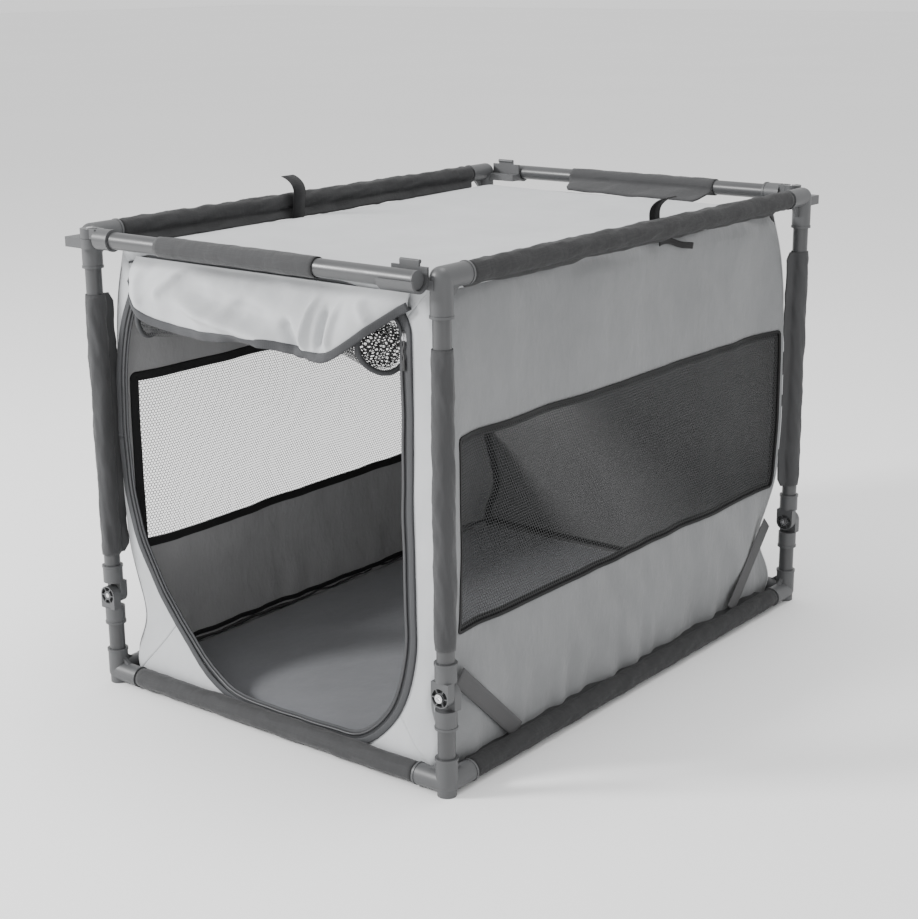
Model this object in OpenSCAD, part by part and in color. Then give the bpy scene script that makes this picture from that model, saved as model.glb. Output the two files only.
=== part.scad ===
// Soft-sided folding pet crate: a fabric tent hung inside a frame of tubes.
// The left and right sides fold inward on knuckles just above the base.
// Two struts lock the sides upright. Each hinges on one top corner and clips into the next.
// Millimetres. +X right, +Y to the rear, +Z up. The origin is the middle of the footprint.

/* [Frame] */
// Distance across the front between the post axes
frame_w = 584; // [480:1:760]
// Distance from front to rear between the post axes
frame_l = 846; // [680:1:1100]
// Height from the base-rail axes to the top-rail axes
frame_h = 610; // [500:1:760]
// Outside diameter of the tubes
tube_d = 22; // [18:0.5:27]
// Wall of the tubes
tube_wall = 1.5; // [1:0.1:2.5]
// Height of the fold axes above the base-rail axes
knuckle_h = 113; // [105:1:150]

/* [Sockets] */
// Wall of the moulded sockets
socket_wall = 2.4; // [2:0.1:4]
// Depth that a tube goes into a corner socket
socket_depth = 25; // [18:1:32]
// Gap around a tube in its socket
socket_gap = 0.1; // [0.05:0.05:0.3]
// Solid length between a fitting's round middle and its sockets
socket_root = 6.5; // [4:0.5:12]
// Height of the collar at a socket's mouth
collar_h = 3; // [2:0.5:5]
// How far the collar stands proud of the socket
collar_t = 0.8; // [0.4:0.1:1.5]
// Thickness of the web plates in the corners
gusset_t = 5; // [3:0.5:8]
// Height of the foot under each base corner
foot_h = 2.5; // [1.5:0.5:6]
// Radius of the foot under each base corner
foot_r = 12; // [8:0.5:16]

/* [Knuckles] */
// Radius of the fold knuckles' ears
ear_r = 13; // [10:0.5:16]
// Gap between the two ears of a hinge
ear_gap = 0.4; // [0.3:0.1:1]
// Clear length between an ear and the other half's socket
ear_clear = 5; // [4:0.5:10]
// Depth that a tube goes into a knuckle
knuckle_depth = 20; // [15:1:28]
// Radius of the hinge pins
pin_r = 3; // [2:0.25:4.5]
// Gap around a hinge pin
pin_gap = 0.05; // [0.02:0.01:0.1]
// Radius of a pin's head
head_r = 5.5; // [4.5:0.25:8]
// Height of a pin's head
head_h = 2; // [1:0.25:3]

/* [Struts] */
// Clear distance between a strut and the side frame that folds past it
strut_gap = 2.5; // [1.5:0.25:6]
// Clear distance between a stowed strut and the side rail's socket
stow_gap = 1.4; // [1:0.1:5]
// Gap around the strut in its cradle
cradle_gap = 1.2; // [0.8:0.1:2]
// Wall of the cradle
cradle_wall = 3; // [2:0.25:4]
// Length of the cradle along the strut
cradle_len = 52; // [36:1:80]
// Distance from the post axis to the near end of the cradle
cradle_start = 8; // [4:1:12]
// Height of the cradle's tall lip above the strut axis
lip_h = 13; // [8:0.5:16]
// Height of the thumb tab above the tall lip
tab_h = 7; // [4:0.5:12]
// Length of the thumb tab
tab_len = 28; // [16:1:36]
// Distance that the strut's free end stops short of the far post axis
strut_short = 14; // [10:1:30]
// Length of the fabric sleeve on a strut
strut_sleeve_len = 264; // [120:1:330]

/* [Fabric] */
// Gap between a tube and its fabric sleeve
sleeve_gap = 0.3; // [0.2:0.1:1]
// Thickness of the sleeve fabric
sleeve_t = 0.8; // [0.5:0.1:1.5]
// Thickness of the tent's padded panels
panel_t = 3; // [2:0.5:5]
// Distance from the post axes in to the tent's walls
wall_inset = 20; // [18:0.5:40]
// Distance from the top-rail axes down to the roof
roof_drop = 20; // [17:1:60]
// Height of the fixed bottom part of the side walls above the base-rail axes
skirt_h = 150; // [120:1:220]
// Height of the side windows' bottom edge above the base-rail axes
window_low = 172; // [150:1:260]
// Distance from the top-rail axes down to the side windows' top edge
window_drop = 195; // [120:1:260]
// Distance from a wall's end to its window
window_end = 24; // [15:1:60]
// Width of the binding around a window
binding_w = 9; // [5:0.5:16]
// Thickness of the window mesh
mesh_t = 1; // [0.5:0.1:2]
// Thickness of the floor board
board_t = 6; // [3:0.5:12]
// Thickness of the mat on the floor board
mat_t = 11; // [5:0.5:25]
// Small gap between neighbouring fabric pieces
seam_gap = 0.5; // [0.3:0.1:1.5]

/* [Door] */
// Distance from the tent's left edge to the doorway
door_left = 8; // [6:1:60]
// Distance from the tent's right edge to the doorway
door_right = 41; // [25:1:90]
// Distance from the roof down to the doorway
door_top = 14; // [8:1:60]
// Height of the doorway's sill above the base-rail axes
door_sill = 14; // [8:1:80]
// Radius of the doorway's lower left corner
door_r_left = 210; // [80:1:220]
// Radius of the doorway's lower right corner
door_r_right = 95; // [40:1:150]
// Radius of the doorway's upper corners
door_r_top = 40; // [15:1:60]
// Width of the zip tape around the doorway
tape_w = 10; // [6:0.5:16]
// Thickness of the zip tape
tape_t = 4; // [2:0.25:5]
// Height of the rolled-up door
roll_h = 72; // [40:1:110]
// Thickness of the rolled-up door from front to back
roll_t = 36; // [20:1:40]
// Distance from the roof down to the zip slider
slider_drop = 57; // [40:1:120]
// Length of the zip pull
pull_len = 40; // [20:1:50]

/* [Straps] */
// Width of the webbing straps
strap_w = 25; // [15:1:40]
// Thickness of the webbing
strap_t = 1.5; // [1:0.1:3]
// Height that a rail strap stands above the rail axis
strap_up = 38; // [20:1:60]
// Place of the left rail strap along the rail, and of the right one turned half round
strap_y = -54; // [-200:1:200]

/* [Hidden] */
$fn = 48;

half_w = frame_w / 2;
half_l = frame_l / 2;
tube_r = tube_d / 2;
bore_r = tube_r + socket_gap;
socket_r = bore_r + socket_wall;
collar_r = socket_r + collar_t;
axis_z = socket_r + foot_h;
top_z = axis_z + frame_h;
fold_z = axis_z + knuckle_h;
arm_stop = socket_r + socket_root;
arm_len = arm_stop + socket_depth;
stub_depth = knuckle_depth;
stub_stop = socket_r;
stub_len = stub_stop + stub_depth;
ear_t = socket_r - 1 - ear_gap / 2;
knuckle_root = ear_r + ear_clear;
pocket_d = 5;
knuckle_stop = knuckle_root + 4;
knuckle_len = knuckle_stop + knuckle_depth;
sleeve_in = tube_r + sleeve_gap;
sleeve_out = sleeve_in + sleeve_t;
strut_y = socket_r + tube_r + strut_gap;
pin_x = collar_r + collar_r + stow_gap;
top_ear_r = min(ear_r, socket_r) - 0.5;
top_ear_t = socket_r - 1;
top_arm_w = 18;
strut_from = pin_x + knuckle_stop;
strut_len = frame_w - strut_short - strut_from;
cradle_r = tube_r + cradle_gap;
wall_x = half_w - wall_inset;
wall_y = half_l - wall_inset;
roof_z = top_z - roof_drop;
side_top = roof_z - panel_t / 2 - seam_gap;
board_low = axis_z - board_t;
skirt_z = axis_z + skirt_h;
panel_x = wall_x - panel_t / 2 - seam_gap;
panel_low = board_low;
window_z0 = axis_z + window_low;
window_z1 = top_z - window_drop;
door_x0 = -panel_x + door_left;
door_x1 = panel_x - door_right;
door_z0 = axis_z + door_sill;
door_z1 = side_top - door_top;
slider_x = door_x1 - tape_w / 2;
slider_z = roof_z - slider_drop;
slider_w = 9;
slider_len = 14;
slider_t = 2.4;
face_y = -wall_y - max(panel_t, tape_t) / 2 - seam_gap;
eye_out = 1.1;
pull_axis_y = face_y - slider_t - eye_out;
pull_w = 6;
pull_t = 1.2;
tube_grey = "#77797b";
fitting_grey = "#7f8183";
light_cloth = "#c9cacc";
dark_cloth = "#4b4b4d";
mesh_grey = "#2d2e30";
black = "#1b1b1d";
steel = "#c4c6c8";

// ---------- shared shapes ----------

module along_x() { rotate([0, 90, 0]) children(); }
module along_y() { rotate([-90, 0, 0]) children(); }

// Places something made for one corner at a corner of the frame: sx is -1 left, sy is -1 front
module at_corner(sx, sy, z) { translate([sx * half_w, sy * half_l, z]) children(); }

// Turns a shape made for the front left corner to face inward from any corner
module facing(sx, sy) { mirror([sx > 0 ? 1 : 0, 0, 0]) mirror([0, sy > 0 ? 1 : 0, 0]) children(); }

// Tube along +Z
module tube(len) {
    difference() {
        cylinder(r = tube_r, h = len);
        translate([0, 0, -1]) cylinder(r = tube_r - tube_wall, h = len + 2);
    }
}

// Fabric sleeve around a tube along +Z
module sleeve(len) {
    difference() {
        cylinder(r = sleeve_out, h = len);
        translate([0, 0, -1]) cylinder(r = sleeve_in, h = len + 2);
    }
}

// Outside of a socket along +Z, with its collar
module socket_body(len) {
    cylinder(r = socket_r, h = len);
    translate([0, 0, len - collar_h]) cylinder(r = collar_r, h = collar_h);
}

// Bore of a socket along +Z
module socket_bore(stop, len) { translate([0, 0, stop]) cylinder(r = bore_r, h = len - stop + 1); }

// Triangular web between two arms, in the plane of +X and +Z
module gusset(leg_x, leg_z) {
    rotate([90, 0, 0]) translate([0, 0, -gusset_t / 2]) linear_extrude(gusset_t)
        polygon([[0, 0], [leg_x, 0], [0, leg_z]]);
}

// Flat plate in the XZ plane, centred on y = 0, cut from a 2D outline
module plate_xz(t) { rotate([90, 0, 0]) translate([0, 0, -t / 2]) linear_extrude(t) children(); }

// Flat plate in the YZ plane, centred on x = 0, cut from a 2D outline
module plate_yz(t) { rotate([90, 0, 90]) translate([0, 0, -t / 2]) linear_extrude(t) children(); }

// Outline from one corner to the opposite one
module box_2d(x0, z0, x1, z1) { translate([x0, z0]) square([x1 - x0, z1 - z0]); }

// Points of an arc
function arc(x, z, r, a0, a1, n = 10) =
    [for (i = [0 : n]) [x + r * cos(a0 + (a1 - a0) * i / n), z + r * sin(a0 + (a1 - a0) * i / n)]];

// Doorway outline, moved inward by d all round
module doorway(d) {
    x0 = door_x0 + d;
    x1 = door_x1 - d;
    z0 = door_z0 + d;
    z1 = door_z1 - d;
    rl = door_r_left - d;
    rr = door_r_right - d;
    rt = door_r_top - d;
    polygon(concat(
        arc(x0 + rl, z0 + rl, rl, 180, 270), arc(x1 - rr, z0 + rr, rr, 270, 360),
        arc(x1 - rt, z1 - rt, rt, 0, 90), arc(x0 + rt, z1 - rt, rt, 90, 180)));
}

// ---------- base ----------

module base_corner(sx, sy) {
    color(fitting_grey) at_corner(sx, sy, axis_z) facing(sx, sy) difference() {
        union() {
            sphere(r = socket_r);
            along_x() socket_body(arm_len);
            along_y() socket_body(arm_len);
            socket_body(stub_len);
            gusset(arm_len - collar_h, stub_len - collar_h);
            rotate([0, 0, 90]) gusset(arm_len - collar_h, stub_len - collar_h);
            translate([0, 0, -axis_z]) cylinder(r = foot_r, h = axis_z);
        }
        along_x() socket_bore(arm_stop, arm_len);
        along_y() socket_bore(arm_stop, arm_len);
        socket_bore(stub_stop, stub_len);
    }
}
module base_corner_fl() { base_corner(-1, -1); }
module base_corner_fr() { base_corner(1, -1); }
module base_corner_bl() { base_corner(-1, 1); }
module base_corner_br() { base_corner(1, 1); }

module rail_across(sy) {
    color(tube_grey) translate([-half_w + arm_stop, sy * half_l, axis_z]) along_x()
        tube(frame_w - 2 * arm_stop);
}
module rail_along(sx, z) {
    color(tube_grey) translate([sx * half_w, -half_l + arm_stop, z]) along_y()
        tube(frame_l - 2 * arm_stop);
}
module base_rail_front() { rail_across(-1); }
module base_rail_rear() { rail_across(1); }
module base_rail_left() { rail_along(-1, axis_z); }
module base_rail_right() { rail_along(1, axis_z); }

module base_stubs() {
    for (sx = [-1, 1]) for (sy = [-1, 1])
        color(tube_grey) at_corner(sx, sy, axis_z + stub_stop)
            tube(knuckle_h - knuckle_stop - stub_stop);
}

// One half of a fold knuckle, socket upward, its ear on the side of y that s gives
module knuckle_half(s) {
    ear_y = s > 0 ? ear_gap / 2 : -ear_gap / 2 - ear_t;
    face = s > 0 ? ear_gap / 2 + ear_t : -ear_gap / 2 - ear_t;
    difference() {
        union() {
            translate([0, ear_y, 0]) along_y() cylinder(r = ear_r, h = ear_t);
            translate([-ear_r, ear_y, 0]) cube([2 * ear_r, ear_t, knuckle_root + 1]);
            translate([0, 0, knuckle_root]) socket_body(knuckle_len - knuckle_root);
        }
        socket_bore(knuckle_stop, knuckle_len);
        translate([0, -socket_r - 1, 0]) along_y() cylinder(r = pin_r + pin_gap, h = 2 * socket_r + 2);
        // moulding pockets round the pin, with ribs left standing between them
        translate([0, s > 0 ? face - pocket_d : face - 1, 0]) along_y() difference() {
            cylinder(r = ear_r - 1.6, h = pocket_d + 1);
            translate([0, 0, -1]) cylinder(r = head_r + 0.8, h = pocket_d + 3);
            for (a = [0 : 60 : 300]) rotate([0, 0, a])
                translate([0, -0.7, -1]) cube([ear_r + 1, 1.4, pocket_d + 3]);
        }
    }
}

// The ear that folds is the outer one at the front right and rear left
function upper_side(sx, sy) = sx * sy < 0 ? sy : -sy;

module lower_knuckles() {
    for (sx = [-1, 1]) for (sy = [-1, 1])
        color(fitting_grey) at_corner(sx, sy, fold_z) mirror([0, 0, 1])
            knuckle_half(-upper_side(sx, sy));
}

// Pins through both ears. The head is on the ear that folds.
module knuckle_pins() {
    reach = ear_gap / 2 + ear_t;
    for (sx = [-1, 1]) for (sy = [-1, 1]) {
        flip = upper_side(sx, sy) > 0 ? 0 : 1;
        color(steel) at_corner(sx, sy, fold_z) mirror([0, flip, 0]) difference() {
            union() {
                translate([0, -reach, 0]) along_y() cylinder(r = pin_r, h = 2 * reach + 0.2);
                translate([0, reach + 0.2, 0]) along_y() cylinder(r = head_r, h = head_h);
            }
            // cross recess
            for (a = [0, 90])
                translate([0, reach + head_h, 0]) rotate([0, a, 0])
                    cube([head_r, 2, 1.2], center = true);
        }
    }
}

module base_sleeves() {
    gap = arm_len + 2;
    for (s = [-1, 1]) color(dark_cloth) {
        translate([-half_w + gap, s * half_l, axis_z]) along_x() sleeve(frame_w - 2 * gap);
        translate([s * half_w, -half_l + gap, axis_z]) along_y() sleeve(frame_l - 2 * gap);
    }
}

// ---------- tent ----------

module floor_board() {
    inset = panel_t / 2 + seam_gap;
    color(dark_cloth) translate([-wall_x + inset, -wall_y + inset, board_low])
        cube([2 * (wall_x - inset), 2 * (wall_y - inset), board_t]);
}

module floor_mat() {
    inset = panel_t + 4;
    color("#56575a") translate([-wall_x + inset, -wall_y + inset, board_low + board_t + seam_gap])
        cube([2 * (wall_x - inset), 2 * (wall_y - inset), mat_t]);
}

module front_panel() {
    color(light_cloth) translate([0, -wall_y, 0]) plate_xz(panel_t) difference() {
        box_2d(-panel_x, panel_low, panel_x, side_top);
        doorway(0);
    }
}

module door_tape() {
    color(dark_cloth) translate([0, -wall_y, 0]) plate_xz(tape_t) difference() {
        doorway(seam_gap);
        doorway(tape_w);
    }
}

// The door's rolled-up cloth, in front of the panel under the roof
module door_roll() {
    fold_r = roll_t / 2;
    x0 = door_x0 + door_r_top;
    x1 = slider_x - slider_w / 2 - 5;
    translate([x0, face_y - 1 - fold_r, side_top - door_top])
        color(light_cloth) along_x() linear_extrude(x1 - x0) union() {
            translate([roll_h - fold_r, 0]) circle(r = fold_r);
            translate([0, -fold_r + 4]) square([roll_h - fold_r, 2 * fold_r - 8]);
        }
}

module zip_slider() {
    color(steel) translate([slider_x, face_y - slider_t, slider_z]) union() {
        translate([-slider_w / 2, 0, -slider_len / 2]) cube([slider_w, slider_t, slider_len]);
        translate([-slider_w / 2, -eye_out, 0]) along_x() cylinder(r = eye_out + 0.3, h = 2);
        translate([slider_w / 2 - 2, -eye_out, 0]) along_x() cylinder(r = eye_out + 0.3, h = 2);
        translate([-slider_w / 2, -eye_out, 0]) along_x() cylinder(r = 0.5, h = slider_w);
    }
}

module zip_pull() {
    ring_w = slider_w - 4 - 0.6;
    color(black) translate([slider_x, pull_axis_y, slider_z]) difference() {
        union() {
            translate([-ring_w / 2, 0, 0]) along_x() cylinder(r = eye_out - 0.1, h = ring_w);
            translate([-ring_w / 2, 0.2 - eye_out, -5]) cube([ring_w, pull_t, 5]);
            translate([-pull_w / 2, 0.2 - eye_out, -pull_len]) cube([pull_w, pull_t, pull_len - 4]);
        }
        translate([-slider_w, 0, 0]) along_x() cylinder(r = 0.55, h = 2 * slider_w);
    }
}

module rear_panel() {
    color(light_cloth) translate([0, wall_y, 0]) plate_xz(panel_t)
        box_2d(-panel_x, panel_low, panel_x, side_top);
}

module roof_panel() {
    color(light_cloth) translate([-wall_x, -wall_y, roof_z - panel_t / 2])
        cube([2 * wall_x, 2 * wall_y, panel_t]);
}

module wall_outline(z0, z1) { box_2d(-wall_y + panel_t, z0, wall_y - panel_t, z1); }

module skirt(sx) {
    color(light_cloth) translate([sx * wall_x, 0, 0]) plate_yz(panel_t)
        wall_outline(panel_low, skirt_z);
}
module left_skirt() { skirt(-1); }
module right_skirt() { skirt(1); }

module side_wall(sx) {
    end = wall_y - panel_t - window_end;
    color(light_cloth) translate([sx * wall_x, 0, 0]) plate_yz(panel_t) difference() {
        wall_outline(skirt_z + seam_gap, side_top);
        box_2d(-end, window_z0, end, window_z1);
    }
}
module left_wall() { side_wall(-1); }
module right_wall() { side_wall(1); }

module side_binding(sx) {
    end = wall_y - panel_t - window_end - seam_gap;
    color(black) translate([sx * wall_x, 0, 0]) plate_yz(panel_t + 1) difference() {
        box_2d(-end, window_z0 + seam_gap, end, window_z1 - seam_gap);
        box_2d(-end + binding_w, window_z0 + binding_w, end - binding_w, window_z1 - binding_w);
    }
}
module left_binding() { side_binding(-1); }
module right_binding() { side_binding(1); }

module side_window(sx) {
    end = wall_y - panel_t - window_end - 2 * seam_gap - binding_w;
    inset = binding_w + seam_gap;
    color(mesh_grey) translate([sx * wall_x, 0, 0]) plate_yz(mesh_t)
        box_2d(-end, window_z0 + inset, end, window_z1 - inset);
}
module left_window() { side_window(-1); }
module right_window() { side_window(1); }

// Webbing across the lower corners of the side walls
module corner_straps() {
    reach = skirt_h - 35;
    for (sx = [-1, 1]) for (sy = [-1, 1])
        color(dark_cloth)
            translate([sx * (wall_x + panel_t / 2 + seam_gap + strap_t / 2), sy * (wall_y - 12), axis_z + 12])
                mirror([0, sy > 0 ? 1 : 0, 0]) plate_yz(strap_t)
                    polygon([[0, reach], [0, reach - strap_w * 1.4], [reach - strap_w * 1.4, 0], [reach, 0]]);
}

// ---------- side frames ----------

module posts(sx) {
    for (sy = [-1, 1]) color(tube_grey) at_corner(sx, sy, fold_z + knuckle_stop)
        tube(top_z - arm_stop - fold_z - knuckle_stop);
}
module left_posts() { posts(-1); }
module right_posts() { posts(1); }

module left_top_rail() { rail_along(-1, top_z); }
module right_top_rail() { rail_along(1, top_z); }

module upper_knuckles(sx) {
    for (sy = [-1, 1]) color(fitting_grey) at_corner(sx, sy, fold_z)
        knuckle_half(upper_side(sx, sy));
}
module left_knuckles() { upper_knuckles(-1); }
module right_knuckles() { upper_knuckles(1); }

module post_sleeves(sx) {
    low = max(knuckle_len + 4, skirt_h + 21 - knuckle_h);
    for (sy = [-1, 1]) color(dark_cloth) at_corner(sx, sy, fold_z + low)
        sleeve(frame_h - knuckle_h - low - arm_len - 35);
}
module left_post_sleeves() { post_sleeves(-1); }
module right_post_sleeves() { post_sleeves(1); }

module rail_sleeve(sx) {
    gap = arm_len + 2;
    color(dark_cloth) translate([sx * half_w, -half_l + gap, top_z]) along_y() sleeve(frame_l - 2 * gap);
}
module left_rail_sleeve() { rail_sleeve(-1); }
module right_rail_sleeve() { rail_sleeve(1); }

// Webbing loop around a top rail, with a tab that stands up
module rail_strap(sx) {
    r = sleeve_out + 0.4;
    tab = strap_up - r - strap_t / 2;
    color(black) translate([sx * half_w, -sx * strap_y - strap_w / 2, top_z]) {
        along_y() difference() {
            cylinder(r = r + strap_t, h = strap_w);
            translate([0, 0, -1]) cylinder(r = r, h = strap_w + 2);
        }
        translate([-strap_t, 0, r + strap_t / 2]) cube([2 * strap_t, strap_w, tab]);
    }
}
module left_rail_strap() { rail_strap(-1); }
module right_rail_strap() { rail_strap(1); }

// Elbow between a post and a side rail, made for the front left corner
module top_elbow() {
    sphere(r = socket_r);
    mirror([0, 0, 1]) socket_body(arm_len);
    along_y() socket_body(arm_len);
    rotate([0, 0, 90]) mirror([0, 0, 1]) gusset(arm_len - collar_h, arm_len - collar_h);
}
module top_elbow_bores() {
    mirror([0, 0, 1]) socket_bore(arm_stop, arm_len);
    along_y() socket_bore(arm_stop, arm_len);
}

// Section of the cradle. x is from the strut axis towards the post, y is up.
module cradle_section() {
    difference() {
        circle(r = cradle_r + cradle_wall);
        circle(r = cradle_r);
        translate([-2 * cradle_r, 0]) square([4 * cradle_r, 2 * cradle_r]);
    }
    translate([cradle_r, -0.5]) square([cradle_wall, lip_h + 0.5]);
}
module tab_section() {
    translate([cradle_r, lip_h - 1]) square([cradle_wall, tab_h]);
    translate([cradle_r + cradle_wall - 0.5, lip_h + tab_h - 2]) circle(r = 2.5);
}

// Elbow with the open cradle that the strut's free end drops into, made for the front left
module clip_corner() {
    rib_y = -strut_y + cradle_r + 0.5;
    difference() {
        union() {
            top_elbow();
            translate([0, rib_y, -socket_r + 1])
                cube([cradle_start + cradle_len, socket_r - 2 - rib_y - socket_r / 2, socket_r - 3]);
            translate([cradle_start + cradle_len / 2, -strut_y, 0])
                plate_yz(cradle_len) cradle_section();
            translate([cradle_start + cradle_len / 2, -strut_y, 0]) plate_yz(tab_len) tab_section();
        }
        top_elbow_bores();
    }
}

// Elbow with the lower ear that the strut swings on, made for the front left
module pivot_corner() {
    difference() {
        union() {
            top_elbow();
            translate([0, 0, -socket_r]) linear_extrude(socket_r - ear_gap) union() {
                translate([pin_x, -strut_y]) circle(r = top_ear_r);
                translate([-top_arm_w / 2, -strut_y - top_arm_w / 2]) square([pin_x + top_arm_w / 2, top_arm_w]);
                translate([-top_arm_w / 2, -strut_y]) square([top_arm_w, strut_y]);
            }
        }
        top_elbow_bores();
        translate([pin_x, -strut_y, -2 * socket_r]) cylinder(r = pin_r + pin_gap, h = 3 * socket_r);
    }
}

module left_front_corner() { color(fitting_grey) at_corner(-1, -1, top_z) facing(-1, -1) pivot_corner(); }
module left_rear_corner() { color(fitting_grey) at_corner(-1, 1, top_z) facing(-1, 1) clip_corner(); }
module right_front_corner() { color(fitting_grey) at_corner(1, -1, top_z) facing(1, -1) clip_corner(); }
module right_rear_corner() { color(fitting_grey) at_corner(1, 1, top_z) facing(1, 1) pivot_corner(); }

// ---------- struts, made for the front and turned half round for the rear ----------

module turned(rear) { rotate([0, 0, rear ? 180 : 0]) children(); }
module at_strut(rear, x) {
    turned(rear) translate([-half_w + x, -half_l - strut_y, top_z]) children();
}

module strut_pin(rear) {
    color(steel) at_strut(rear, pin_x) {
        translate([0, 0, -socket_r]) cylinder(r = pin_r, h = socket_r + top_ear_t);
        translate([0, 0, top_ear_t]) cylinder(r = head_r - 1, h = head_h / 2);
    }
}
module front_strut_pin() { strut_pin(false); }
module rear_strut_pin() { strut_pin(true); }

module strut_tube(rear) { color(tube_grey) at_strut(rear, strut_from) along_x() tube(strut_len); }
module front_strut() { strut_tube(false); }
module rear_strut() { strut_tube(true); }

module strut_hinge(rear) {
    color(fitting_grey) at_strut(rear, pin_x) difference() {
        union() {
            cylinder(r = top_ear_r, h = top_ear_t);
            translate([0, -top_arm_w / 2, 0]) cube([knuckle_root + 1, top_arm_w, top_ear_t]);
            along_x() translate([0, 0, knuckle_root]) socket_body(arm_len - knuckle_root);
        }
        along_x() socket_bore(knuckle_stop, arm_len);
        translate([0, 0, -1]) cylinder(r = pin_r + pin_gap, h = top_ear_t + 2);
        // slots in the top of the ear
        for (i = [1 : 3]) translate([pin_r + 1.5 + 3 * i, -top_arm_w / 2 + 3, top_ear_t - 2])
            cube([1.6, top_arm_w - 6, 3]);
    }
}
module front_strut_hinge() { strut_hinge(false); }
module rear_strut_hinge() { strut_hinge(true); }

module strut_sleeve(rear) {
    color(dark_cloth) at_strut(rear, half_w - strut_sleeve_len / 2) along_x() sleeve(strut_sleeve_len);
}
module front_strut_sleeve() { strut_sleeve(false); }
module rear_strut_sleeve() { strut_sleeve(true); }

module strut_plug(rear) {
    color(fitting_grey) at_strut(rear, frame_w - strut_short) along_x() {
        translate([0, 0, -12]) cylinder(r = tube_r - tube_wall - 0.1, h = 12.1);
        translate([0, 0, 0.05]) cylinder(r = tube_r, h = 2);
    }
}
module front_strut_plug() { strut_plug(false); }
module rear_strut_plug() { strut_plug(true); }

base_rail_front();
base_rail_rear();
base_rail_left();
base_rail_right();
base_corner_fl();
base_corner_fr();
base_corner_bl();
base_corner_br();
base_stubs();
lower_knuckles();
knuckle_pins();
base_sleeves();
floor_board();
floor_mat();
corner_straps();
front_panel();
door_tape();
door_roll();
zip_slider();
zip_pull();
rear_panel();
roof_panel();
left_skirt();
right_skirt();
left_posts();
left_top_rail();
left_front_corner();
left_rear_corner();
left_knuckles();
left_post_sleeves();
left_rail_sleeve();
left_rail_strap();
left_wall();
left_window();
left_binding();
front_strut_pin();
right_posts();
right_top_rail();
right_front_corner();
right_rear_corner();
right_knuckles();
right_post_sleeves();
right_rail_sleeve();
right_rail_strap();
right_wall();
right_window();
right_binding();
rear_strut_pin();
front_strut();
front_strut_hinge();
front_strut_sleeve();
front_strut_plug();
rear_strut();
rear_strut_hinge();
rear_strut_sleeve();
rear_strut_plug();
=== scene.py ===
# Looks for the folding soft pet crate: fabric, mesh, webbing, zip and every material.
# Metres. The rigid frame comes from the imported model, and the places of the cloth come from its boxes.
import math

import bmesh
import bpy
import numpy as np
from mathutils import Matrix, Vector, noise


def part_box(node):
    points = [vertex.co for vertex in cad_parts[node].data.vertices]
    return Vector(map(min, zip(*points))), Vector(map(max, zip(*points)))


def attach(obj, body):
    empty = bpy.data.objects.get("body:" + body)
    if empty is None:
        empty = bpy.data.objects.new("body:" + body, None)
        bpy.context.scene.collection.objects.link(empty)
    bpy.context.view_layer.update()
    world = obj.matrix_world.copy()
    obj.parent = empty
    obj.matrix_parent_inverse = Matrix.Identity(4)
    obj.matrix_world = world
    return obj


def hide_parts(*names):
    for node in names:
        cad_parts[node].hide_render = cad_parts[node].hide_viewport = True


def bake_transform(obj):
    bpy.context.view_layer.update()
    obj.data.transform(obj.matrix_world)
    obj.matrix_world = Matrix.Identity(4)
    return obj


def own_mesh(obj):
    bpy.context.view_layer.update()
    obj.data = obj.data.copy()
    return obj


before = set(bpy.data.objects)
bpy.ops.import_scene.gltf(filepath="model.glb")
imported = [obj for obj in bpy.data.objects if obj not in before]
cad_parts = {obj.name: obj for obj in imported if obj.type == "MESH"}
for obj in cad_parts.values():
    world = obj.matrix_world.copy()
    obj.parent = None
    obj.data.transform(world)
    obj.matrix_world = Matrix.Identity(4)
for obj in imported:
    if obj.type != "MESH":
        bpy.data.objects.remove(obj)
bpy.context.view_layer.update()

# ---------------------------------------------------------------- places taken from the frame


def box_middle(node, axis):
    low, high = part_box(node)
    return float(low[axis] + high[axis]) / 2


WALL_X = box_middle("right_wall", 0)
WALL_Y = box_middle("rear_panel", 1)
ROOF_Z = float(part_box("roof_panel")[1][2])
FLOOR_Z = float(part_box("floor_board")[0][2])
BASE_Z = box_middle("base_rail_front", 2)
TOP_Z = box_middle("left_top_rail", 2)
POST_X = box_middle("right_top_rail", 0)
POST_Y = box_middle("base_rail_rear", 1)
STRUT_Y = box_middle("rear_strut", 1)
TUBE_R = float(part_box("front_strut")[1][2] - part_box("front_strut")[0][2]) / 2
WINDOW_LOW, WINDOW_HIGH = (float(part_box("right_binding")[i][2]) for i in (0, 1))
WINDOW_END = float(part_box("right_binding")[1][1])
SLIDER = (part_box("zip_slider")[0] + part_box("zip_slider")[1]) / 2
DOOR_LOW, DOOR_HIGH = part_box("door_tape")
CLOTH = 0.0012
SLEEVE_R = TUBE_R + 0.0013
WALL_SEEDS = {-1: 3, 1: 11}

# ---------------------------------------------------------------- mesh helpers


def smooth_step(x):
    x = np.clip(x, 0, 1)
    return x * x * (3 - 2 * x)


def bump_at(x, middle, width):
    return np.exp(-((np.asarray(x) - middle) / width) ** 2)


def noise_on(points, scale, seed):
    """Smooth noise at each point, about -1 to 1. scale is cycles per metre on each axis."""
    flat = np.asarray(points, float).reshape(-1, 3) * np.asarray(scale, float) + seed * 7.31
    out = np.array([noise.noise(Vector(p)) for p in flat])
    return out.reshape(np.shape(points)[:-1])


def unit(vectors):
    return vectors / np.linalg.norm(vectors, axis=1)[:, None]


def heading(line):
    """The direction of travel at each point of an open line."""
    return unit(np.gradient(line, axis=0))


def closed_line(line):
    return np.vstack([line, line[:1]])


def add_object(name, data):
    obj = bpy.data.objects.new(name, data)
    bpy.context.collection.objects.link(obj)
    return obj


def mount(piece, body):
    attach(piece, body)


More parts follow.
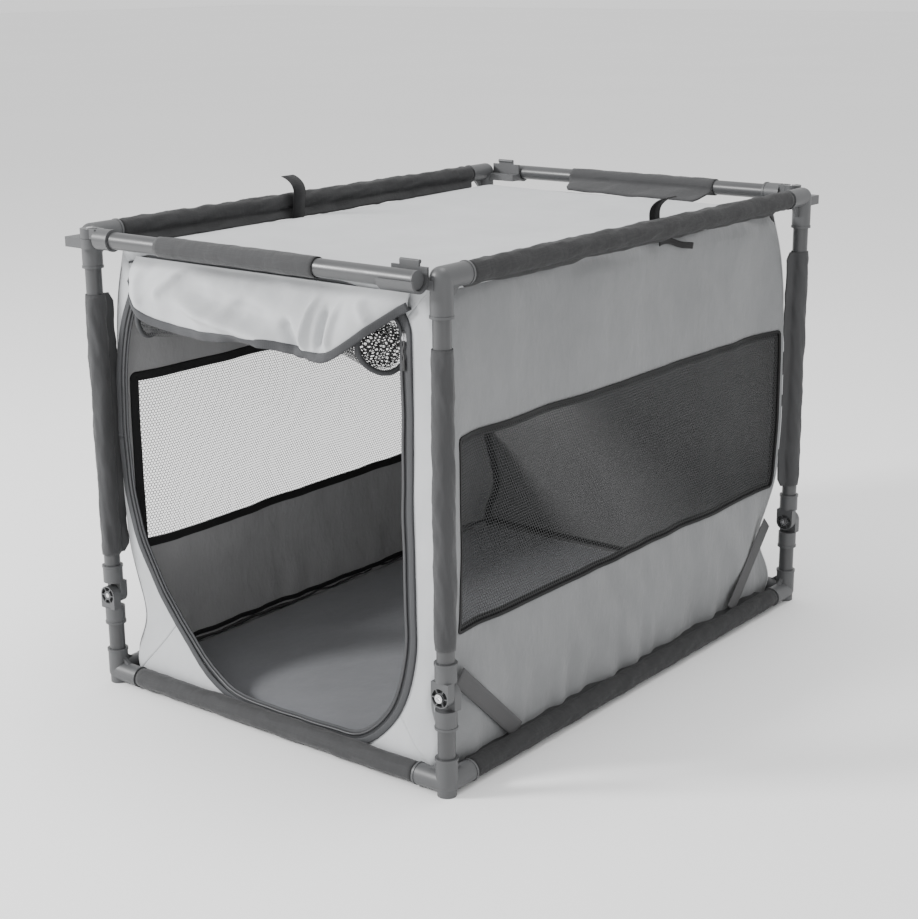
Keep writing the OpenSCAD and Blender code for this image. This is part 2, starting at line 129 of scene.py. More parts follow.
def new_object(name, verts, faces, materials, smooth=True):
    mesh = bpy.data.meshes.new(name)
    mesh.from_pydata([tuple(map(float, v)) for v in verts], [], [tuple(map(int, f)) for f in faces])
    mesh.validate()
    mesh.update()
    for m in materials:
        mesh.materials.append(m)
    if smooth:
        mesh.shade_smooth()
    return add_object(name, mesh)


def thicken(obj, thickness=CLOTH, offset=-1.0, lining=False):
    """Gives a sheet two faces. With lining, the inner one takes the second material."""
    mod = obj.modifiers.new("thick", "SOLIDIFY")
    mod.thickness = thickness
    mod.offset = offset
    mod.use_even_offset = False
    mod.material_offset = 1 if lining else 0
    deps = bpy.context.evaluated_depsgraph_get()
    mesh = bpy.data.meshes.new_from_object(obj.evaluated_get(deps))
    obj.modifiers.clear()
    obj.data = mesh


def grid(name, points, materials, closed_u=False, closed_v=False, keep=None, flip=False):
    """A sheet from rows of points. keep says which faces stay."""
    points = np.asarray(points, float)
    rows, cols = points.shape[:2]
    faces = []
    for i in range(rows if closed_u else rows - 1):
        for j in range(cols if closed_v else cols - 1):
            if keep is not None and not keep[i][j]:
                continue
            a, b = i * cols + j, i * cols + (j + 1) % cols
            c, d = ((i + 1) % rows) * cols + (j + 1) % cols, ((i + 1) % rows) * cols + j
            faces.append((a, d, c, b) if flip else (a, b, c, d))
    used = sorted({v for f in faces for v in f})
    place = {v: k for k, v in enumerate(used)}
    verts = points.reshape(-1, 3)[used]
    return new_object(name, verts, [[place[v] for v in f] for f in faces], materials)


def close_up(obj, loops=None):
    """Adds faces over these loops of vertices, or over every hole, and turns all faces outward."""
    bm = bmesh.new()
    bm.from_mesh(obj.data)
    bm.verts.ensure_lookup_table()
    if loops is None:
        bmesh.ops.holes_fill(bm, edges=[e for e in bm.edges if e.is_boundary], sides=0)
    else:
        for loop in loops:
            bm.faces.new([bm.verts[k] for k in loop])
    bmesh.ops.recalc_face_normals(bm, faces=bm.faces)
    bm.to_mesh(obj.data)
    bm.free()
    return obj


def ribbon(name, centre, side, out, width, thick, material):
    """A flat strap along a line of points. side is across the strap, and out is away from its face."""
    centre, side, out = (np.asarray(a, float) for a in (centre, side, out))
    bulge = [(-1, -0.5), (-0.92, 0.35), (-0.6, 0.5), (0, 0.5), (0.6, 0.5), (0.92, 0.35),
             (1, -0.5), (0, -0.5)]
    rings = np.stack([centre + side * (u * width / 2) + out * (v * thick) for u, v in bulge], 1)
    count = len(bulge)
    obj = grid(name, rings, [material], closed_v=True)
    last = (len(rings) - 1) * count
    return close_up(obj, [range(count)[::-1], range(last, last + count)])


def tape_along(name, line, face, width, thick, material):
    """A ribbon along an open line, facing one way all along."""
    face = np.tile(np.array(face, float), (len(line), 1))
    return ribbon(name, line, np.cross(heading(line), face), face, width, thick, material)


def sweep(name, line, radius, material, sides=10, squash=1.0, up=(0, 0, 1), closed=False):
    """A round or oval tube along a line. radius may vary along it."""
    line = np.asarray(line, float)
    radius = np.broadcast_to(radius, len(line))
    if closed:
        ahead = np.roll(line, -1, 0) - np.roll(line, 1, 0)
    else:
        ahead = np.gradient(line, axis=0)
    ahead /= np.linalg.norm(ahead, axis=1)[:, None] + 1e-12
    across = np.cross(ahead, np.asarray(up, float))
    across /= np.linalg.norm(across, axis=1)[:, None] + 1e-12
    over = np.cross(across, ahead)
    turn = (np.arange(sides) * 2 * np.pi / sides)[None, :, None]
    rings = (line[:, None] + radius[:, None, None] * (
        across[:, None] * np.cos(turn) + squash * over[:, None] * np.sin(turn)))
    obj = grid(name, rings, [material], closed_u=closed, closed_v=True)
    if not closed:
        last = (len(line) - 1) * sides
        close_up(obj, [range(sides), range(last, last + sides)])
    return obj


def hex_net(name, place, u_span, v_span, pitch, open_share, material, inside=None):
    """A net of six-sided holes laid on a surface. place turns (u, v) arrays into points."""
    r = pitch / math.sqrt(3)
    rows = int((v_span[1] - v_span[0]) / (1.5 * r)) + 1
    cols = int((u_span[1] - u_span[0]) / pitch) + 1
    j, i = np.meshgrid(np.arange(rows), np.arange(cols), indexing="ij")
    u = (u_span[0] + (i + 0.5 * (j % 2)) * pitch).ravel()
    v = (v_span[0] + j * 1.5 * r).ravel()
    ok = (u > u_span[0] + r) & (u < u_span[1] - r) & (v > v_span[0] + r) & (v < v_span[1] - r)
    if inside is not None:
        ok &= inside(u, v)
    u, v = u[ok], v[ok]
    turn = np.radians(30 + 60 * np.arange(6))
    ring = np.stack([np.cos(turn), np.sin(turn)], 1)
    outer = np.stack([u, v], 1)[:, None] + ring[None] * r
    inner = np.stack([u, v], 1)[:, None] + ring[None] * r * math.sqrt(open_share)
    keys = np.round(outer.reshape(-1, 2) / (pitch * 0.05)).astype(int)
    _, first, where = np.unique(keys, axis=0, return_index=True, return_inverse=True)
    where = where.ravel()
    shared = outer.reshape(-1, 2)[first]
    flat = np.concatenate([shared, inner.reshape(-1, 2)])
    verts = place(flat[:, 0], flat[:, 1])
    n, base = len(u), len(shared)
    a = where.reshape(n, 6)
    b = np.roll(a, -1, 1)
    c = base + np.arange(n * 6).reshape(n, 6)
    d = np.roll(c, -1, 1)
    faces = np.stack([a, b, d, c], -1).reshape(-1, 4)
    return new_object(name, verts, faces, [material])


def ray_hits(points, centre, angles):
    """Where rays from centre at these angles meet a closed outline."""
    points = np.asarray(points, float) - centre
    nxt = np.roll(points, -1, 0)
    edge = nxt - points
    out = []
    for a in angles:
        d = np.array([math.cos(a), math.sin(a)])
        cross = d[0] * edge[:, 1] - d[1] * edge[:, 0]
        cross = np.where(abs(cross) < 1e-12, 1e-12, cross)
        t = (points[:, 0] * edge[:, 1] - points[:, 1] * edge[:, 0]) / cross
        s = (points[:, 0] * d[1] - points[:, 1] * d[0]) / cross
        t = t[(s >= -1e-6) & (s <= 1 + 1e-6) & (t > 0)]
        out.append(d * t.max())
    return np.array(out) + centre


# ---------------------------------------------------------------- materials


def start_material(name):
    mat = bpy.data.materials.new(name)
    mat.use_nodes = True
    tree = mat.node_tree
    tree.nodes.clear()
    out = tree.nodes.new("ShaderNodeOutputMaterial")
    shader = tree.nodes.new("ShaderNodeBsdfPrincipled")
    tree.links.new(shader.outputs[0], out.inputs[0])
    coords = tree.nodes.new("ShaderNodeTexCoord")
    return mat, tree, shader, coords.outputs["Object"]


def put(node, values):
    for socket, value in values.items():
        node.inputs[socket].default_value = value


def noise_node(tree, coords, scale, detail=3.0, rough=0.5, stretch=None):
    if stretch:
        mapping = tree.nodes.new("ShaderNodeMapping")
        put(mapping, {"Scale": stretch})
        tree.links.new(coords, mapping.inputs["Vector"])
        coords = mapping.outputs[0]
    tex = tree.nodes.new("ShaderNodeTexNoise")
    put(tex, {"Scale": scale, "Detail": detail, "Roughness": rough})
    tree.links.new(coords, tex.inputs["Vector"])
    return tex.outputs["Fac"]


def ramp(tree, value, stops):
    node = tree.nodes.new("ShaderNodeValToRGB")
    while len(node.color_ramp.elements) < len(stops):
        node.color_ramp.elements.new(0.5)
    for element, (at, colour) in zip(node.color_ramp.elements, stops):
        element.position = at
        element.color = (*colour, 1)
    tree.links.new(value, node.inputs[0])
    return node.outputs[0]


def maths(tree, kind, a, b):
    node = tree.nodes.new("ShaderNodeMath")
    node.operation = kind
    for socket, value in zip(node.inputs, (a, b)):
        if isinstance(value, (int, float)):
            socket.default_value = value
        else:
            tree.links.new(value, socket)
    return node.outputs[0]


def bump(tree, height, distance, strength, before=None):
    node = tree.nodes.new("ShaderNodeBump")
    put(node, {"Distance": distance, "Strength": strength})
    tree.links.new(height, node.inputs["Height"])
    if before is not None:
        tree.links.new(before, node.inputs["Normal"])
    return node.outputs[0]


def shade(colour, k):
    return tuple(c * k for c in colour)


def bands(tree, coords, direction, period):
    """Fine lines a period apart. A wave texture of scale 1 has a period of pi / 10."""
    tex = tree.nodes.new("ShaderNodeTexWave")
    tex.wave_type = "BANDS"
    tex.bands_direction = direction
    put(tex, {"Scale": math.pi / 10 / period, "Distortion": 0.0})
    tree.links.new(coords, tex.inputs["Vector"])
    return tex.outputs["Fac"]


def cloth_material(name, colour, across, along, period=0.0011, rough=0.82, sheen=0.25,
                   crease=0.5, mottle=0.07, weave=0.5):
    """Plain-woven polyester: two sets of fine threads, soft creases and uneven colour."""
    mat, tree, shader, coords = start_material(name)
    blotch = noise_node(tree, coords, 9.0, 4.0, 0.6)
    colours = ramp(tree, blotch,
                   [(0.32, shade(colour, 1 - mottle)), (0.5, colour), (0.68, shade(colour, 1 + mottle))])
    warp = bands(tree, coords, across, period)
    weft = bands(tree, coords, along, period)
    threads = maths(tree, "MULTIPLY", warp, weft)
    tint = tree.nodes.new("ShaderNodeMixRGB")
    tint.blend_type = "MULTIPLY"
    tint.inputs[0].default_value = 0.44 * weave
    tree.links.new(colours, tint.inputs[1])
    tree.links.new(ramp(tree, threads, [(0.0, (0.72, 0.72, 0.72)), (0.6, (1, 1, 1))]), tint.inputs[2])
    tree.links.new(tint.outputs[0], shader.inputs["Base Color"])
    folds = noise_node(tree, coords, 22.0, 5.0, 0.55, stretch=(1.0, 1.0, 0.55))
    first = bump(tree, folds, 0.006, crease)
    tree.links.new(bump(tree, threads, 0.0003, weave, first), shader.inputs["Normal"])
    gloss = ramp(tree, blotch, [(0.3, (rough - 0.06,) * 3), (0.7, (rough + 0.06,) * 3)])
    tree.links.new(gloss, shader.inputs["Roughness"])
    put(shader, {"Sheen Weight": sheen, "Sheen Roughness": 0.45, "Specular IOR Level": 0.3})
    return mat


def hard_material(name, colour, rough, grain, grain_size, metallic=0.0, coat=0.0, wear=0.12):
    """Moulded plastic or painted tube: fine grain, uneven gloss and faint rubbed streaks."""
    mat, tree, shader, coords = start_material(name)
    blotch = noise_node(tree, coords, 14.0, 4.0, 0.6)
    streaks = noise_node(tree, coords, 60.0, 3.0, 0.7, stretch=(1.0, 1.0, 0.12))
    mixed = maths(tree, "ADD", maths(tree, "MULTIPLY", blotch, 0.7),
                  maths(tree, "MULTIPLY", streaks, 0.3))
    colours = [(0.3, shade(colour, 1 - wear)), (0.5, colour), (0.72, shade(colour, 1 + wear))]
    tree.links.new(ramp(tree, mixed, colours), shader.inputs["Base Color"])
    gloss = ramp(tree, mixed, [(0.3, (rough - 0.07,) * 3), (0.7, (rough + 0.09,) * 3)])
    tree.links.new(gloss, shader.inputs["Roughness"])
    fine = noise_node(tree, coords, 1.0 / grain_size, 2.0, 0.5)
    tree.links.new(bump(tree, fine, grain_size * 0.2, grain), shader.inputs["Normal"])
    put(shader, {"Metallic": metallic, "Coat Weight": coat, "Coat Roughness": 0.25})
    return mat


def webbing_material(name, colour, across, along):
    return cloth_material(name, colour, across, along, period=0.0022, rough=0.7, sheen=0.04,
                          crease=0.12, mottle=0.1, weave=0.9)


LIGHT = (0.44, 0.45, 0.46)
LINING = (0.14, 0.14, 0.142)
DARK = (0.044, 0.0445, 0.046)
TRIM = (0.06, 0.0615, 0.065)
# The front, side and roof are one pale cloth: the front copy is made brighter as painted light, and the
# side copy darker as painted shade.
front_cloth_painted_light = cloth_material("pale cloth front painted light", shade(LIGHT, 1.16), "X", "Z")
side_cloth_painted_shade = cloth_material("pale cloth side painted shade", shade(LIGHT, 0.47), "Y", "Z", crease=0.9)
roof_cloth = cloth_material("light cloth roof", LIGHT, "X", "Y", crease=0.25)
front_lining = cloth_material("lining front", LINING, "X", "Z")
# The side lining is the lining made twice as bright, as painted light.
side_lining_painted_light = cloth_material("lining side painted light", shade(LINING, 2.0), "Y", "Z", crease=0.9)
# The three dark cloths are one fabric: the along copy is darkened as painted shade, and the upright copy
# brightened as painted light.
dark_cloth_x = cloth_material("dark cloth across", DARK, "Y", "X", crease=0.7, sheen=0.12)
dark_cloth_y_painted_shade = cloth_material("dark cloth along painted shade", shade(DARK, 0.66), "X", "Y", crease=0.7, sheen=0.06)
dark_cloth_z_painted_light = cloth_material("dark cloth upright painted light", shade(DARK, 1.2), "X", "Z", crease=0.7, sheen=0.12)
mat_cloth = cloth_material("mat cloth", (0.145, 0.149, 0.16), "X", "Y", period=0.0016, crease=0.35)
net = cloth_material("window net", (0.034, 0.035, 0.036), "Y", "Z", period=0.0006, rough=0.6,
                     crease=0.0, sheen=0.03)
trim = webbing_material("grey binding", TRIM, "X", "Z")
black_trim = webbing_material("black binding", (0.008, 0.008, 0.0085), "Y", "Z")
strap_grey = webbing_material("grey webbing", (0.075, 0.075, 0.077), "Y", "Z")
strap_black = webbing_material("black webbing", (0.012, 0.012, 0.013), "Y", "Z")
zip_plastic = hard_material("zip coil", (0.05, 0.051, 0.054), 0.4, 0.2, 0.0006)
tube_paint = hard_material("tube paint", (0.05, 0.051, 0.053), 0.38, 0.25, 0.0012, coat=0.15)
fitting = hard_material("fitting plastic", (0.072, 0.0735, 0.076), 0.42, 0.35, 0.0009)
black_plastic = hard_material("black plastic", (0.02, 0.02, 0.021), 0.5, 0.3, 0.0008)
steel = hard_material("bright steel", (0.62, 0.62, 0.63), 0.24, 0.15, 0.0007, metallic=1.0, wear=0.1)

FITTING_WORDS = ("corner_", "knuckles", "hinge", "plug")
TUBE_WORDS = ("rail", "strut", "posts", "stubs")


def repaint():
    """Better materials for the rigid pieces of the frame, which keep their own shapes."""
    for name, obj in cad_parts.items():
        mat = None
        if "pin" in name:
            mat = steel
        elif name.endswith("_corner") or any(word in name for word in FITTING_WORDS):
            mat = fitting
        elif any(word in name for word in TUBE_WORDS):
            mat = tube_paint
        if mat is None:
            continue
        for slot in obj.material_slots:
            slot.material = mat


repaint()

# ---------------------------------------------------------------- camera and studio

CAMERA_AZIMUTH, CAMERA_ELEVATION, CAMERA_ROLL = 38.27, 15.75, -0.5


def camera():
    a, e, r = (math.radians(v) for v in (CAMERA_AZIMUTH, CAMERA_ELEVATION, CAMERA_ROLL))
    back = Vector((math.sin(a) * math.cos(e), -math.cos(a) * math.cos(e), math.sin(e)))
    level = Vector((math.cos(a), math.sin(a), 0))
    up = back.cross(level)
    right = math.cos(r) * level + math.sin(r) * up
    over = -math.sin(r) * level + math.cos(r) * up
    data = bpy.data.cameras.new("camera")
    data.lens, data.sensor_width = 69.1, 36
    obj = add_object("camera", data)
    obj.matrix_world = Matrix((
        (right.x, over.x, back.x, 1.4998),
        (right.y, over.y, back.y, -1.9254),
        (right.z, over.z, back.z, 0.9454 + BASE_Z),
        (0, 0, 0, 1)))
    bpy.context.scene.camera = obj


def area_light(name, place, target, size, watts):
    data = bpy.data.lights.new(name, "AREA")
    data.shape = "DISK"
    data.size, data.energy = size, watts
    obj = add_object(name, data)
    obj.location = place
    obj.rotation_mode = "QUATERNION"
    obj.rotation_quaternion = (Vector(target) - Vector(place)).to_track_quat("-Z", "Y")


def studio():
    mat, tree, shader, coords = start_material("floor")
    tone = noise_node(tree, coords, 0.6, 2.0)
    tree.links.new(ramp(tree, tone, [(0.3, (0.93, 0.93, 0.93)), (0.7, (0.95, 0.95, 0.95))]),
                   shader.inputs["Base Color"])
    put(shader, {"Roughness": 0.9})
    side = 30
    floor = new_object("floor", [(-side, -side, 0), (side, -side, 0), (side, side, 0), (-side, side, 0)],
                       [(0, 1, 2, 3)], [mat], smooth=False)
    world = bpy.data.worlds.new("studio")
    world.use_nodes = True
    sky = world.node_tree.nodes["Background"]
    sky.inputs[0].default_value = (1, 1, 1, 1)
    sky.inputs[1].default_value = 1.15
    bpy.context.scene.world = world
    area_light("key", (-2.3, -2.9, 2.1), (0, 0, 0.3), 0.9, 190)
    area_light("top", (0.3, 0.2, 3.2), (0, 0, 0.3), 1.8, 45)
    area_light("side", (3.0, -1.6, 0.5), (0, 0, 0.2), 1.4, 5)


camera()
studio()

# ---------------------------------------------------------------- the side walls

WALL_TOP = ROOF_Z - 0.002
WALL_END = WALL_Y - 0.0005
# half the tent's width at its ends: drawn out by the webs, nipped in at the knuckles
EDGE_HEIGHTS = (0.0, 0.03, 0.05, 0.085, 0.11, 0.16, 0.2, 0.29, 0.4, 0.5, 0.55, 0.59, 0.61)
EDGE_WIDTHS = (0.262, 0.275, 0.276, 0.256, 0.254, 0.270, 0.281, 0.286, 0.285, 0.280, 0.273, 0.262, 0.256)


def edge_x(z):
    z = np.asarray(z, float)
    return sum(np.interp(z + dz, EDGE_HEIGHTS, EDGE_WIDTHS) for dz in (-0.015, -0.005, 0.005, 0.015)) / 4


def wall_bow(y, z, seed):
    """How far a side wall stands out from its plane: drawn to the posts at its ends, slack elsewhere."""
    height = (z - FLOOR_Z) / (WALL_TOP - FLOOR_Z)
    end = smooth_step((abs(y) - WALL_END + 0.08) / 0.08)
    points = np.stack([np.zeros_like(y), y, z], -1)
    drape = noise_on(points, (1, 14, 2.2), seed) * 0.0050 * smooth_step((height - 0.05) / 0.4)
    soft = noise_on(points, (1, 5, 6), seed + 1) * 0.0045
    lean = noise_on(points + np.stack([0 * y, 0.8 * z, 0 * z], -1), (1, 20, 5), seed + 4) * 0.0030
    hem = noise_on(points, (1, 34, 9), seed + 2) * 0.0062 * bump_at(height, 0.02, 0.11)
    belly = 0.007 * bump_at(height, 0.16, 0.15)
    return (drape + soft + hem + lean + belly) * (1 - end) + (edge_x(z) - WALL_X) * end ** 1.3


def wall_point(sx, y, z, seed, out=0.0):
    """A point of a side wall. Its ends meet the front and rear panels."""
    y, z = np.asarray(y, float), np.asarray(z, float)
    turn = smooth_step((abs(y) - WALL_END + 0.006) / 0.006)
    x = WALL_X + wall_bow(y, z, seed) + out - 0.003 * turn ** 2
    return np.stack([sx * x, y, z], -1)


WINDOW = dict(y0=-WINDOW_END - 0.004, y1=min(WINDOW_END + 0.014, WALL_END - 0.008),
              z0=WINDOW_LOW, z1=WINDOW_HIGH, r=0.006)


def inside_window(y, z, margin=0.0):
    """True inside the rounded window, made smaller by margin."""
    w = WINDOW
    r = w["r"]
    dy = np.maximum(np.maximum(w["y0"] + margin + r - y, y - (w["y1"] - margin - r)), 0)
    dz = np.maximum(np.maximum(w["z0"] + margin + r - z, z - (w["z1"] - margin - r)), 0)
    return np.hypot(dy, dz) <= r


def window_edge(steps=14):
    """The window's outline as (y, z) points, going round once."""
    w = WINDOW
    r = w["r"]
    corners = ((w["y1"] - r, w["z0"] + r, -90), (w["y1"] - r, w["z1"] - r, 0),
               (w["y0"] + r, w["z1"] - r, 90), (w["y0"] + r, w["z0"] + r, 180))
    line = []
    for cy, cz, a0 in corners:
        for k in range(steps + 1):
            a = math.radians(a0 + 90 * k / steps)
            line.append((cy + r * math.cos(a), cz + r * math.sin(a)))
    return dense(np.array(line), 0.006)


def dense(line, step, closed=True):
    """The same line with points no more than a step apart."""
    out = []
    ends = np.vstack([line, line[:1]]) if closed else line
    for a, b in zip(ends[:-1], ends[1:]):
        n = max(1, int(np.linalg.norm(b - a) / step))
        out += [a + (b - a) * k / n for k in range(n)]
    if not closed:
        out.append(ends[-1])
    return np.array(out)


def side_wall(side):
    sx = -1 if side == "left" else 1
    seed = WALL_SEEDS[sx]
    body = side + "_side"
    y0, y1, z0, z1 = (WINDOW[k] for k in ("y0", "y1", "z0", "z1"))
    # rows and columns fall on the window's edges
    ys = np.unique(np.concatenate([
        np.linspace(-WALL_END, y0, 9), np.linspace(y0, y1, 121), np.linspace(y1, WALL_END, 9)]))
    zs = np.unique(np.concatenate([
        np.linspace(FLOOR_Z, z0, 41), np.linspace(z0, z1, 31), np.linspace(z1, WALL_TOP, 31)]))
    z, y = np.meshgrid(zs, ys, indexing="ij")
    # the upper corners are rounded off
    high = smooth_step((z - (WALL_TOP - 0.03)) / 0.03)
    y = y * (1 - 0.035 * high * smooth_step((abs(y) - 0.3) / 0.1))
    points = wall_point(sx, y, z, seed)
    points[..., 0] -= sx * 0.006 * high ** 2
    mid_y = (ys[:-1] + ys[1:]) / 2
    mid_z = (zs[:-1] + zs[1:]) / 2
    keep = ~((mid_y[None] > y0) & (mid_y[None] < y1) & (mid_z[:, None] > z0) & (mid_z[:, None] < z1))
    wall = grid(side + "_wall_cloth", points, [side_cloth_painted_shade, side_lining_painted_light], keep=keep, flip=sx < 0)
    thicken(wall, lining=True)
    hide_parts(side + "_wall", side + "_skirt")
    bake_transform(wall)

    mesh = hex_net(side + "_window_net", lambda u, v: wall_point(sx, u, v, seed, -CLOTH / 2),
                   (y0, y1), (z0, z1), 0.0044, 0.62, net, lambda u, v: inside_window(u, v, 0.003))
    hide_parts(side + "_window")
    mount(mesh, body)
    edge = window_edge()
    for out, label, inset, wide in (
            (0.0009, "outer", 0.0005, 0.0042), (-CLOTH - 0.0009, "inner", 0.003, 0.013)):
        mid = wall_point(sx, *offset_line(edge, inset).T, seed, out)
        across = unit(wall_point(sx, *offset_line(edge, 0.009).T, seed, out) - mid)
        face = np.zeros_like(mid)
        face[:, 0] = sx * (1 if out > 0 else -1)
        mid, across, face = (closed_line(v) for v in (mid, across, face))
        tape = ribbon(f"{side}_window_binding_{label}", mid, across, face, wide, 0.0012, black_trim)
        mount(tape, body)
    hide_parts(side + "_binding")


def offset_line(line, d):
    """A closed line moved inward by d, for a line that goes round anticlockwise."""
    ahead = unit(np.roll(line, -1, 0) - np.roll(line, 1, 0))
    return line + d * np.stack([-ahead[:, 1], ahead[:, 0]], 1)


side_wall("left")
side_wall("right")

# ---------------------------------------------------------------- the front panel and its door

PANEL_TOP = ROOF_Z - 0.001
# corners of the doorway as (width, height), and how far it reaches past the frame's flat outline
DOOR_CORNER = dict(low_left=(0.24, 0.33), low_right=(0.105, 0.17),
                   top_right=(0.045, 0.04), top_left=(0.085, 0.19))
DOOR_WIDER, DOOR_LOWER = 0.011, 0.008


def door_outline(d=0.0):
    """The doorway as (x, z) points, made smaller by d all round, going anticlockwise from low left."""
    x0, x1 = DOOR_LOW[0] - DOOR_WIDER + d, DOOR_HIGH[0] - d
    z0, z1 = DOOR_LOW[2] - DOOR_LOWER + d, DOOR_HIGH[2] - d
    line = []
    for label, right, high, a0 in (("low_left", 0, 0, 180), ("low_right", 1, 0, 270),
                                   ("top_right", 1, 1, 0), ("top_left", 0, 1, 90)):
        w, h = (v - d for v in DOOR_CORNER[label])
        cx = x1 - w if right else x0 + w
        cz = z1 - h if high else z0 + h
        turn = np.radians(a0 + np.arange(0, 91, 4.5))
        line.append(np.stack([cx + w * np.cos(turn), cz + h * np.sin(turn)], 1))
    return dense(np.concatenate(line), 0.005)


def upright_panel(x, z):
    """Points of a flat panel across the tent, and how near each is to the panel's sides."""
    near = smooth_step((abs(x) - edge_x(z) + 0.012) / 0.012)
    return np.stack([x, np.zeros_like(x), z], -1), near


def front_face(x, z, out=0.0):
    """A point of the front panel, out from it by out."""
    x, z = np.asarray(x, float), np.asarray(z, float)
    points, near = upright_panel(x, z)
    ripple = noise_on(points, (9, 1, 6), 21) * 0.004 + noise_on(points, (24, 1, 17), 22) * 0.0018
    flare = 0.010 * bump_at(z, 0.03, 0.03) + 0.004 * bump_at(z, 0.35, 0.2)
    y = -WALL_Y + 0.003 * near ** 2 - (ripple + flare) * (1 - near) - out
    return np.stack([x, y, z], -1)


def on_front(line, out=0.0):
    return front_face(line[:, 0], line[:, 1], out)


def collapse(piece, body="base"):
    """Rides on a body, with a mesh of its own."""
    mount(piece, body)
    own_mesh(piece)


def front_panel():
    inner = door_outline(0.0)
    zs = np.linspace(FLOOR_Z, PANEL_TOP, 60)
    foot, top = edge_x(FLOOR_Z), edge_x(PANEL_TOP)
    outer = np.concatenate([
        np.stack([edge_x(zs), zs], 1),
        np.stack([np.linspace(top, -top, 50), np.full(50, PANEL_TOP)], 1)[1:],
        np.stack([-edge_x(zs[::-1]), zs[::-1]], 1)[1:],
        np.stack([np.linspace(-foot, foot, 50), np.full(50, FLOOR_Z)], 1)[1:-1]])
    centre = np.array([-0.02, 0.3])
    ends = ((foot, FLOOR_Z), (top, PANEL_TOP), (-top, PANEL_TOP), (-foot, FLOOR_Z))
    corners = [math.atan2(z - centre[1], x - centre[0]) for x, z in ends]
    angles = np.sort(np.concatenate([np.linspace(-math.pi, math.pi, 420, endpoint=False), corners]))
    a, b = ray_hits(inner, centre, angles), ray_hits(outer, centre, angles)
    share = np.linspace(0, 1, 15)[None, :, None]
    flat = a[:, None] * (1 - share) + b[:, None] * share
    points = front_face(flat[..., 0], flat[..., 1])
    points = np.concatenate([points, points[:1]])
    # sewn from four strips that meet at the panel's corners
    marks = [int(np.argmin(abs(angles - c))) for c in sorted(corners)]
    marks.append(marks[0] + len(angles))
    around = np.concatenate([points[:-1], points])
    for k, label in enumerate(("bottom", "right", "top", "left")):
        strip = grid(f"front_panel_{label}", around[marks[k]:marks[k + 1] + 1], [front_cloth_painted_light, front_lining])
        thicken(strip, lining=True)
        collapse(strip)
        if k == 0:
            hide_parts("front_panel")


def closed_ribbon(name, line, out, width, thick, material, face=(0, -1, 0)):
    """A strap round the doorway on the front panel."""
    mid = on_front(line, out)
    ahead = unit(np.roll(mid, -1, 0) - np.roll(mid, 1, 0))
    normal = np.broadcast_to(np.asarray(face, float), mid.shape)
    side = unit(np.cross(ahead, normal))
    return ribbon(name, closed_line(mid), closed_line(side), closed_line(normal), width, thick, material)


def door_trim():
    """Binding on the doorway's edge, zip tape inside it and the coil on the tape."""
    binding = closed_ribbon("door_binding", door_outline(-0.001), 0.0012, 0.009, 0.0028, trim)
    tape = closed_ribbon("zip_tape", door_outline(0.008), 0.0, 0.012, 0.0012, trim)
    line = dense(door_outline(0.009), 0.0011)
    mid = on_front(line, 0.0016)
    tooth = 0.0016 + 0.00045 * np.where(np.arange(len(mid)) % 2 == 0, 1, -1)
    coil = sweep("zip_coil", mid, tooth, zip_plastic, sides=6, up=(0, -1, 0), closed=True)
    for piece in (binding, tape, coil):
        collapse(piece)
    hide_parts("door_tape")


# the rolled-up door hangs from these places: (x, lowest z)
FLAP_EDGE = ((-0.224, 0.591), (-0.222, 0.566), (-0.205, 0.545), (-0.172, 0.528), (-0.130, 0.521),
             (-0.060, 0.521), (0.000, 0.526), (0.045, 0.527), (0.080, 0.521), (0.108, 0.517),
             (0.138, 0.519), (0.160, 0.532), (0.190, 0.556), (0.220, 0.578), (0.233, 0.588))


def flap_low(x):
    xs, zs = np.array(FLAP_EDGE).T
    # smoothed by averaging three neighbouring readings
    return (np.interp(x - 0.012, xs, zs) + np.interp(x, xs, zs) * 2 + np.interp(x + 0.012, xs, zs)) / 4


FLAP_TOP = PANEL_TOP - 0.006


def crease(x, z, start, end, width):
    """1 on a line from start to end, fading over width to its sides and toward its ends."""
    (x0, z0), (x1, z1) = start, end
    dx, dz = x1 - x0, z1 - z0
    length = math.hypot(dx, dz)
    along = ((x - x0) * dx + (z - z0) * dz) / length ** 2
    off = ((x - x0) * dz - (z - z0) * dx) / length
    fade = smooth_step(along / 0.3) * smooth_step((1 - along) / 0.3)
    return np.exp(-(off / width) ** 2) * fade


# ridges and valleys of the rolled door: (start, end, width, height before FOLD_DEPTH)
FOLD_DEPTH = 1.7
FLAP_FOLDS = (
    ((-0.150, 0.562), (0.090, 0.522), 0.009, 0.0085),
    ((-0.130, 0.575), (0.080, 0.548), 0.010, -0.0050),
    ((-0.120, 0.600), (-0.165, 0.555), 0.008, 0.0050),
    ((0.105, 0.590), (0.098, 0.517), 0.006, 0.0075),
    ((0.125, 0.585), (0.122, 0.517), 0.005, -0.0060),
    ((0.145, 0.590), (0.140, 0.522), 0.006, 0.0060),
    ((0.060, 0.560), (0.088, 0.516), 0.007, -0.0065),
    ((0.010, 0.600), (-0.050, 0.545), 0.011, 0.0035),
    ((0.170, 0.595), (0.195, 0.560), 0.006, 0.0035),
    ((-0.205, 0.590), (-0.180, 0.540), 0.007, 0.0035))


